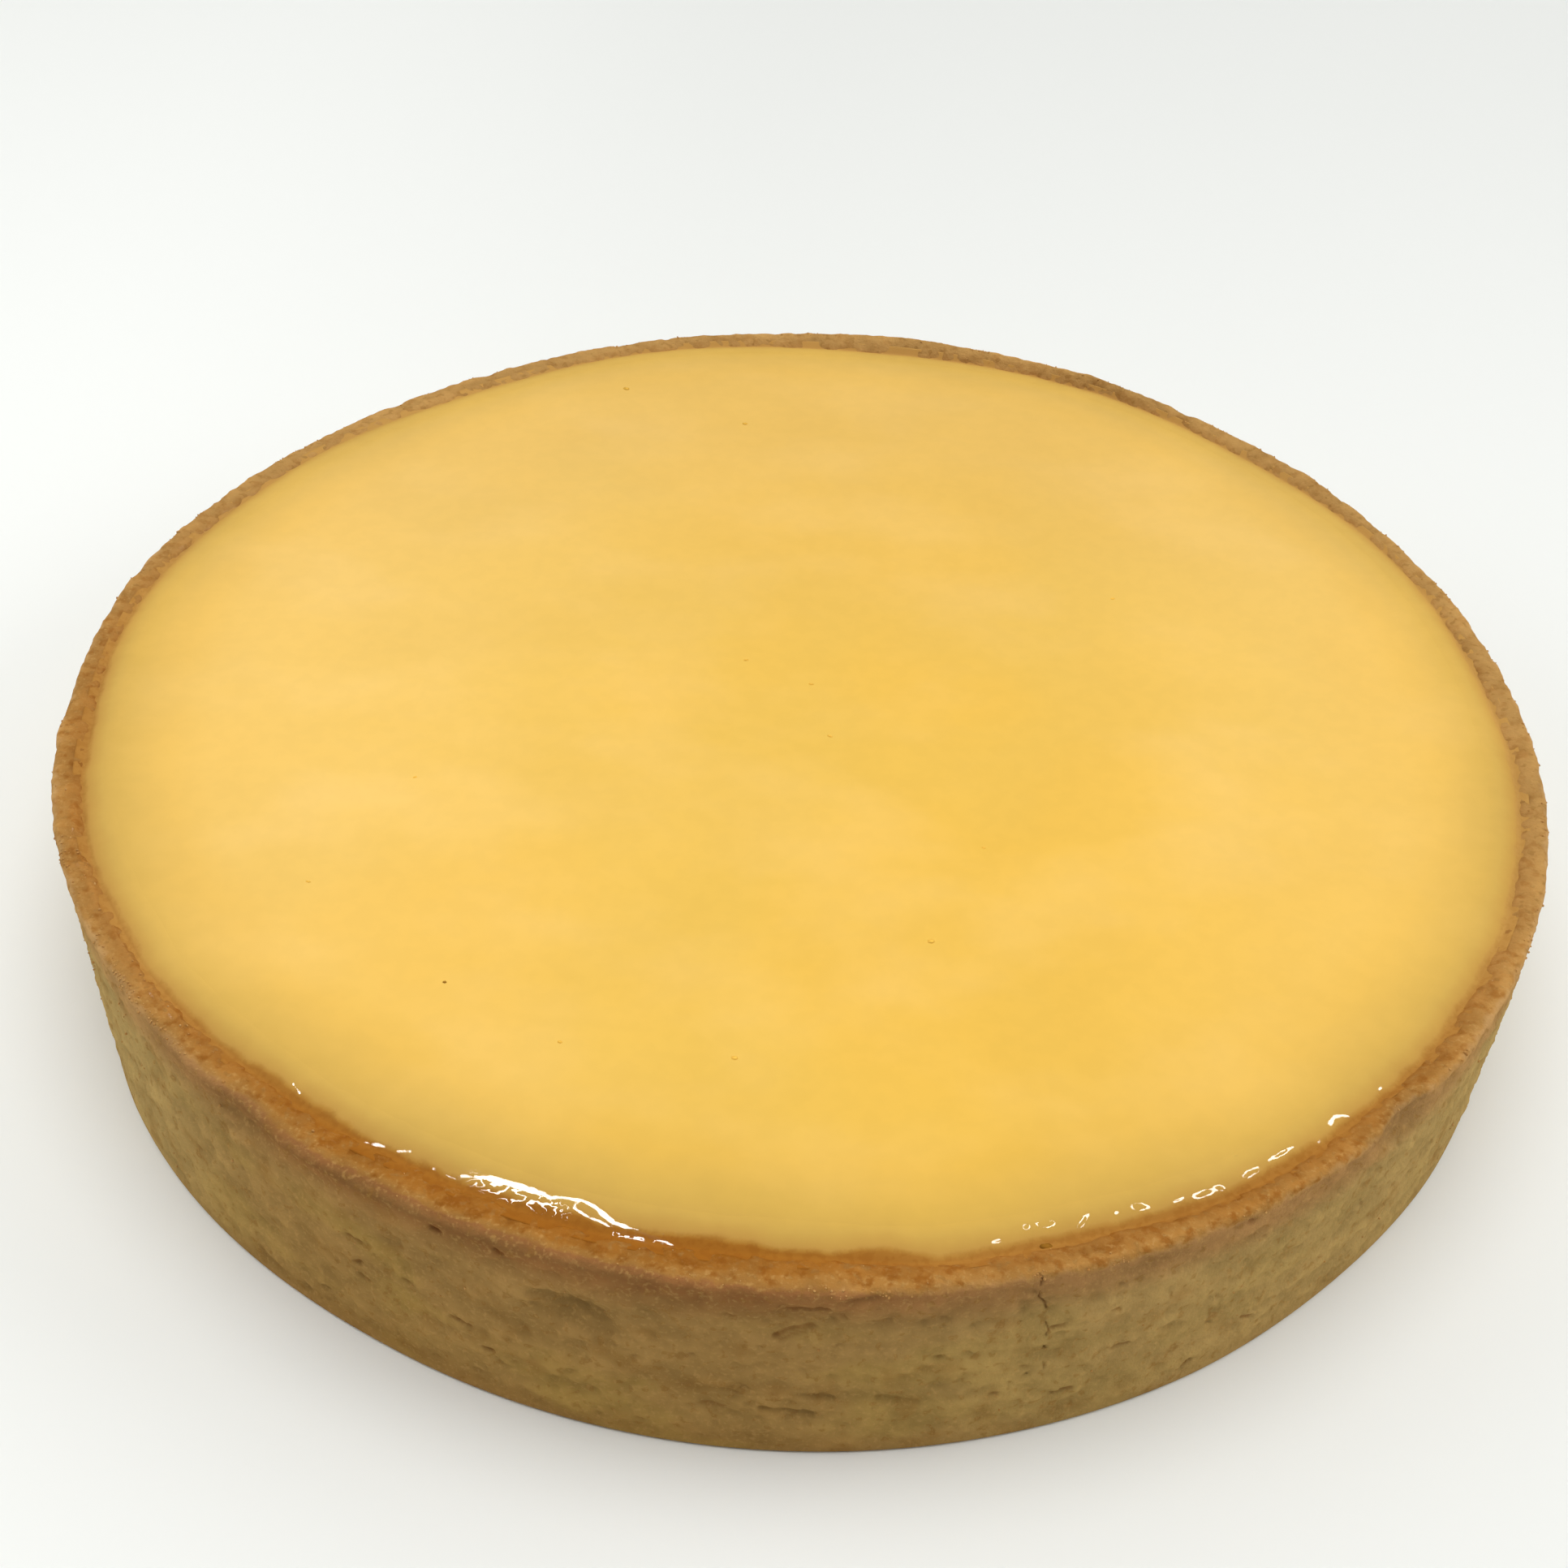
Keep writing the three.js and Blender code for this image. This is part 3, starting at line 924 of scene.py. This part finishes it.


# flecks in the curd, and a dark fleck as painted shade in the pit beside the rim

flecks = {
    # x, y, length, width and darkness
    "spots": [
        (-53.5, -41.0, 0.7, 0.3, 0.0), (-36.1, -54.7, 0.5, 0.4, 0.8), (-5.3, -62.8, 0.8, 0.6, 0.0),
        (14.8, -44.8, 0.9, 0.7, 0.0), (-11.5, 60.9, 0.9, 0.7, 0.2), (-30.1, 69.3, 1.2, 0.9, 0.25),
        (3.0, -11.0, 0.8, 0.4, 0.1), (-8.0, 3.2, 0.7, 0.4, 0.1), (0.4, -1.0, 0.8, 0.4, 0.1),
        (-23.1, -62.0, 0.6, 0.4, 0.1), (-45.2, -22.7, 0.6, 0.3, 0.0), (21.0, -29.4, 0.6, 0.3, 0.0),
        # the last spot is a dark fleck that stands in for the shade in the pit beside the rim
        (39.9, 21.0, 0.7, 0.4, 0.0), (25.15, -82.85, 1.6, 0.9, 0.9),
    ],
    "rise": 0.08,  # above what they lie in
    "seed": 3,
    "pale": (252, 199, 86),
    # colour of the dark specks, and of the painted shade in the pit
    "dark": (132, 84, 24),
}


def dropOnto(x, y):
    # place and slope of the surface under a point
    above = Vector((x, y, 2 * crust["height"])) * mm
    hits = [piece.ray_cast(above, Vector((0, 0, -1))) for piece in (crustPiece, curdPiece, glazePiece)]
    _, place, normal, _ = max((hit for hit in hits if hit[0]), key=lambda hit: hit[1].z)
    return np.array(place) / mm, normal


def scatterFlecks():
    spots = flecks["spots"]
    dice = random.Random(flecks["seed"])
    upright = Vector((0, 0, 1))
    places, turns = [], []
    for x, y, *_ in spots:
        place, normal = dropOnto(x, y)
        places.append(place)
        turns.append(upright.rotation_difference(normal) @ Quaternion(upright, dice.uniform(-0.5, 0.5)))
    stretches = [(length / 2, width / 2, flecks["rise"]) for _, _, length, width, _ in spots]
    piece = joinBlobs("flecksPiece", places, stretches, turns)
    corners = len(piece.data.vertices) // len(spots)
    writeMask(piece, "dark", np.repeat([spot[4] for spot in spots], corners))
    return piece


flecksPiece = scatterFlecks()
print("flecks:", len(flecksPiece.data.polygons), "faces")


# finishes
# patches in them: size in millimetres, detail, and the noise that counts as 0 and as 1

pastry = {
    # millimetres along the surface from the foot, and the colour there
    "zones": [
        (0.0, (168, 129, 74)), (2.0, (166, 128, 72)), (5.0, (170, 134, 77)), (21.0, (170, 133, 78)),
        (24.2, (157, 115, 67)), (26.4, (153, 103, 60)), (27.1, (164, 117, 60)), (28.0, (168, 118, 57)),
        (28.7, (160, 105, 42)), (30.2, (154, 97, 32)), (31.6, (148, 92, 28)),
    ],
    "wander": 0.6,  # millimetres that their borders wander
    "coarseBorder": (5, 2, 0.3, 0.7),
    "fineBorder": (1.2, 1, 0.3, 0.7),
    # where along the surface these end or start
    "wallEnds": (18, 24),
    "lipStarts": (20, 25),
    "rimStarts": (26.8, 27.8),
    "caramelStarts": (28.2, 28.8),
    "wetStarts": (28.4, 29.2),
    # colours, with the most that they are mixed in
    "paleWall": (186, 157, 99),  # away from the front: partly paler pastry, partly painted light on the sides of the wall
    "paleLip": (189, 148, 94),
    "paleRim": (188, 146, 86),
    "sallow": ((180, 149, 76), 0.4),
    "toasted": ((146, 104, 52), 0.45),
    "browned": (138, 80, 22),
    "grains": ((206, 164, 98), 0.35),
    "crackColourAndShade": ((128, 72, 33), 0.85),
    "sallowPatches": (16, 2, 0.45, 0.65),
    "toastedPatches": (4, 4, 0.5, 0.75),
    "brownedPatches": (1.4, 3, 0.48, 0.68),
    "specks": (1.0, 1, 0.6, 0.7),
    "grainPatches": (0.5, 2, 0.5, 0.75),
    "shadePatches": (9, 2, 0.3, 0.7),
    "shades": (0.94, 1.06),  # darkest and lightest of those, and of the lumps
    # darkest and lightest of the painted shade of lumps, dents and lip
    "paintedLumpShades": (0.82, 1.13),
    "wet": 0.15,  # gloss where the glaze has run onto the rim
    "coat": {"Coat Roughness": 0.12, "Coat IOR": 1.36},
    "grain": {"Scale": 1400, "Detail": 4, "Roughness": 0.6},  # finest crumb, and how far it stands out
    "bump": {"Strength": 0.8, "Distance": 0.35 * mm},
}


def alongFrom(tree, value, limits, start=0.0, end=1.0):
    # mask from limits in millimetres along the surface of the pastry
    low, high = (limit / crust["alongFull"] for limit in limits)
    return between(tree, value, low, high, start, end)


def makePastryFinish():
    finish, tree, shader, place = newFinish("bakedPastry", 0.85)
    flat = squeezed(tree, place, (1, 1, 2))
    along, toast = attribute(tree, "along"), attribute(tree, "rimToast")
    full = crust["alongFull"]

    # zones with ragged borders
    coarse = blotches(tree, flat, *pastry["coarseBorder"])
    ragged = maths(tree, "ADD", coarse, blotches(tree, place, *pastry["fineBorder"]))
    shift = times(tree, maths(tree, "SUBTRACT", ragged, 1), pastry["wander"] / full)
    zone = maths(tree, "ADD", along, shift)
    body = colourRamp(tree, zone, [(way / full, colour(*shade)) for way, shade in pastry["zones"]])

    # the wall is sallow in places
    onWall = alongFrom(tree, along, pastry["wallEnds"], 1, 0)
    sallow = times(tree, blotches(tree, flat, *pastry["sallowPatches"]), onWall)
    body = tinted(tree, body, sallow, *pastry["sallow"])

    # wall and rim are palest away from the front: partly paler pastry, and on the wall partly painted
    # light on the sides, the front kept darker as if in shade
    onRim = alongFrom(tree, zone, pastry["rimStarts"])
    paleWall = between(tree, attribute(tree, "toast"), 0.2, 1, 1, 0)
    paleWall = times(tree, paleWall, maths(tree, "SUBTRACT", 1.0, onRim))
    belowLip = alongFrom(tree, along, pastry["lipStarts"])
    pale = tinted(tree, colour(*pastry["paleWall"]), belowLip, pastry["paleLip"])
    body = mixColours(tree, paleWall, body, pale)
    paleRim = times(tree, between(tree, toast, 0, 1, 0.9, 0), onRim)
    body = tinted(tree, body, paleRim, pastry["paleRim"])

    # toasted blotches, browned specks on the rim, and painted shade of the lumps, dents and lip
    body = tinted(tree, body, blotches(tree, place, *pastry["toastedPatches"]), *pastry["toasted"])
    browned = times(tree, blotches(tree, place, *pastry["brownedPatches"]), onRim)
    browned = times(tree, browned, between(tree, toast, 0, 1, 0.25, 0.72))
    body = tinted(tree, body, browned, pastry["browned"])
    patches = blotches(tree, flat, *pastry["shadePatches"])
    body = shaded(tree, body, between(tree, patches, 0, 1, *pastry["shades"]))
    body = shaded(tree, body, between(tree, attribute(tree, "lumps"), 0.1, 0.85, *pastry["paintedLumpShades"]))

    # specks, pale grains, and the insides of cracks: their own reddish brown, deepened with depth as
    # painted shade
    body = tinted(tree, body, blotches(tree, place, *pastry["specks"]), *pastry["toasted"])
    caramel = alongFrom(tree, zone, pastry["caramelStarts"], 1, 0.4)
    grains = times(tree, blotches(tree, place, *pastry["grainPatches"]), caramel)
    body = tinted(tree, body, grains, *pastry["grains"])
    body = tinted(tree, body, attribute(tree, "hollow"), *pastry["crackColourAndShade"])

    # dry crumb, wet where the glaze has run onto the rim
    wet = times(tree, alongFrom(tree, zone, pastry["wetStarts"]), toast)
    wet = times(tree, wet, pastry["wet"])
    grain = addNode(tree, "ShaderNodeTexNoise", {"Vector": place, **pastry["grain"]}).outputs["Fac"]
    bump = addNode(tree, "ShaderNodeBump", {"Height": grain, **pastry["bump"]}).outputs["Normal"]
    setInputs(tree, shader, {"Base Color": body, "Normal": bump, "Coat Weight": wet, **pastry["coat"]})
    return finish


lemon = {
    # millimetres from the pastry, and the colour there: darker towards the pastry, partly its own colour
    # where it runs thin over the crust, partly painted shade where the surface curves down
    "edges": [
        (-1.2, (156, 97, 32)), (0.0, (163, 106, 38)), (0.25, (178, 128, 55)), (0.6, (193, 149, 74)),
        (2.2, (202, 163, 81)), (4.8, (212, 172, 82)), (10.0, (229, 184, 82)), (16.0, (236, 192, 88)),
    ],
    "ragged": 0.45,  # millimetres that their borders wander
    "borderPatches": (3.2, 4, 0.3, 0.7),
    # millimetres from the pastry where these end or start
    "brownEnds": (0.1, 0.9),
    "satinStarts": (3.5, 6.5),
    "hazeStarts": (3.0, 4.5),
    # colours, with the most that they are mixed in
    "browned": ((144, 86, 28), 0.4),  # grains beside the pastry
    "paleEdge": (196, 152, 84),  # away from the front, where the pastry beside it is paler
    "deep": ((237, 187, 76), 0.5),  # cloudy patches
    # painted reflection, in streaks and at the sides
    "pale": (250, 209, 126),
    "paintedBackShade": (222, 183, 108),  # painted shade at the back
    "brownedPatches": (0.8, 2, 0.45, 0.6),
    "deepPatches": (45, 2, 0.4, 0.62),
    "sheenStreaks": (16, 3, 0.4, 0.75),
    # metres to the right, or back, where they change, and the shares there
    "sheenSides": [(-0.08, 0, 0.5, 0), (0.02, 0.085, 0, 0.4)],
    "back": (-0.02, 0.085, 0, 0.5),
    "shades": [(24, 0.98, 1.015), (2.5, 0.99, 1.01)],  # size of patches, darkest and lightest
    "satin": 0.08,  # gloss of the surface seen from above, where it isn't wet
    "wetGloss": 0.03,  # roughness where it is wet, and elsewhere
    "haze": 0.2,
    "wander": 0.16,  # millimetres that the edges of the wet patches wander
    "wanderPatches": (1.2, 2, 0.2, 0.8),
    "thread": (0.7, 0.05),  # size and thickness of the threads beside them
    "dropBend": (0.8, 0.3),  # size of the bends of the drops, and millimetres out of shape
    "dropEdge": 0.06,  # half thickness of their edges
    "dropBreaks": (0.9, 1, 0.35, 0.6),
}


def edgeFrom(tree, value, limits, start=0.0, end=1.0):
    # mask from limits in millimetres from the pastry
    nearest, farthest = curd["edgeRange"]
    low, high = ((limit - nearest) / (farthest - nearest) for limit in limits)
    return between(tree, value, low, high, start, end)


def makeCurdFinish():
    finish, tree, shader, place = newFinish("lemonCurd", 0.6)
    edge, toast = attribute(tree, "edge"), attribute(tree, "rimToast")
    nearest, farthest = curd["edgeRange"]
    wide = farthest - nearest

    # ragged brown border, palest away from the front, and the curd darkening towards it, partly painted
    # shade
    ragged = maths(tree, "SUBTRACT", blotches(tree, place, *lemon["borderPatches"]), 0.5)
    shifted = maths(tree, "ADD", edge, times(tree, ragged, lemon["ragged"] / wide))
    stops = [((way - nearest) / wide, colour(*shade)) for way, shade in lemon["edges"]]
    body = colourRamp(tree, shifted, stops)
    beside = edgeFrom(tree, shifted, lemon["brownEnds"], 1, 0)
    paler = times(tree, between(tree, toast, 0.2, 1, 0.8, 0), beside)
    body = tinted(tree, body, paler, lemon["paleEdge"])
    browned = times(tree, blotches(tree, place, *lemon["brownedPatches"]), beside)
    body = tinted(tree, body, times(tree, browned, toast), *lemon["browned"])

    # cloudy patches, painted reflection in pale streaks and at the sides, and painted shade at the back
    cloudy = times(tree, blotches(tree, place, *lemon["deepPatches"]), edge)
    body = tinted(tree, body, cloudy, *lemon["deep"])
    way = addNode(tree, "ShaderNodeSeparateXYZ", {"Vector": place}).outputs
    across = squeezed(tree, place, (0.6, 1, 1))
    pale = times(tree, blotches(tree, across, *lemon["sheenStreaks"]), 0.3)
    for side in lemon["sheenSides"]:
        pale = maths(tree, "ADD", pale, between(tree, way["X"], *side))
    body = tinted(tree, body, times(tree, pale, edge), lemon["pale"])
    paintedBackShade = times(tree, between(tree, way["Y"], *lemon["back"]), edge)
    body = tinted(tree, body, paintedBackShade, lemon["paintedBackShade"])
    for size, darkest, lightest in lemon["shades"]:
        patches = blotches(tree, place, size, 2, 0.3, 0.7)
        body = shaded(tree, body, between(tree, patches, 0, 1, darkest, lightest))

    # satin away from the pastry, and beside it only wet in patches and threads, and round drops
    facing = addNode(tree, "ShaderNodeLayerWeight", {"Blend": 0.5}).outputs["Facing"]
    satin = between(tree, facing, 0.3, 0.75, lemon["satin"], 1)
    coat = times(tree, edgeFrom(tree, edge, lemon["satinStarts"]), satin)
    unit = 0.5 / glaze["wetRange"]
    wander = maths(tree, "SUBTRACT", blotches(tree, place, *lemon["wanderPatches"]), 0.5)
    wet = maths(tree, "ADD", attribute(tree, "wet"), times(tree, wander, lemon["wander"] * unit))
    coat = maths(tree, "MAXIMUM", coat, between(tree, wet, 0.5 - 0.05 * unit, 0.5 + 0.05 * unit))
    size, thick = lemon["thread"]
    thread = addNode(tree, "ShaderNodeTexNoise", {"Vector": across, "Scale": 1000 / size, "Detail": 1})
    offMiddle = maths(tree, "ABSOLUTE", maths(tree, "SUBTRACT", thread.outputs["Fac"], 0.5))
    width = times(tree, attribute(tree, "threads"), thick)
    coat = maths(tree, "MAXIMUM", coat, maths(tree, "LESS_THAN", offMiddle, width))
    size, bend = lemon["dropBend"]
    bent = addNode(tree, "ShaderNodeTexNoise", {"Vector": place, "Scale": 1000 / size, "Detail": 1})
    moved = {0: bent.outputs["Color"], 1: (bend * mm,) * 3, 2: place}
    bent = addNode(tree, "ShaderNodeVectorMath", moved, operation="MULTIPLY_ADD").outputs["Vector"]
    broken = blotches(tree, place, *lemon["dropBreaks"])
    for drop in glaze["drops"]:
        thickness = times(tree, broken, lemon["dropEdge"] / drop[3])
        coat = maths(tree, "MAXIMUM", coat, dropEdge(tree, bent, *drop, thickness))
    haze = edgeFrom(tree, edge, lemon["hazeStarts"], lemon["wetGloss"], lemon["haze"])
    gloss = {"Coat Weight": coat, "Coat Roughness": haze, "Coat IOR": 1.5}
    setInputs(tree, shader, {"Base Color": body, **gloss})
    return finish


def makeCrumbFinish():
    finish, tree, shader, place = newFinish("paleCrumb", 0.7)
    mottled = blotches(tree, place, *crumbs["mottled"])
    shade = tinted(tree, colour(*crumbs["dark"]), mottled, crumbs["pale"])
    setInputs(tree, shader, {"Base Color": shade})
    return finish


def makeFleckFinish():
    finish, tree, shader, _ = newFinish("zest", 0.5)
    shade = tinted(tree, colour(*flecks["pale"]), attribute(tree, "dark"), flecks["dark"])
    setInputs(tree, shader, {"Base Color": shade})
    return finish


def makeFloorFinish():
    finish, tree, shader, place = newFinish("paleFloor", 0.8)
    # painted light at the left, and painted shade at the right and at the back
    way = addNode(tree, "ShaderNodeSeparateXYZ", {"Vector": place}).outputs
    rightwards, backwards = studio["floorReach"]
    light = between(tree, way["X"], *rightwards, *studio["floorLightAndShade"])
    light = times(tree, light, between(tree, way["Y"], *backwards, 1, studio["floorBackShade"]))
    setInputs(tree, shader, {"Base Color": shaded(tree, (*studio["floorColour"], 1), light)})
    return finish


floor.data.materials.append(makeFloorFinish())
crustPiece.data.materials.append(makePastryFinish())
curdFinish = makeCurdFinish()
curdPiece.data.materials.append(curdFinish)
glazePiece.data.materials.append(curdFinish)
crumbsPiece.data.materials.append(makeCrumbFinish())
flecksPiece.data.materials.append(makeFleckFinish())
print("finishes set")

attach(crustPiece, "root")
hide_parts("crust")
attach(curdPiece, "root")
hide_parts("lemon_filling")
for piece in (glazePiece, crumbsPiece, flecksPiece):
    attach(piece, "root")
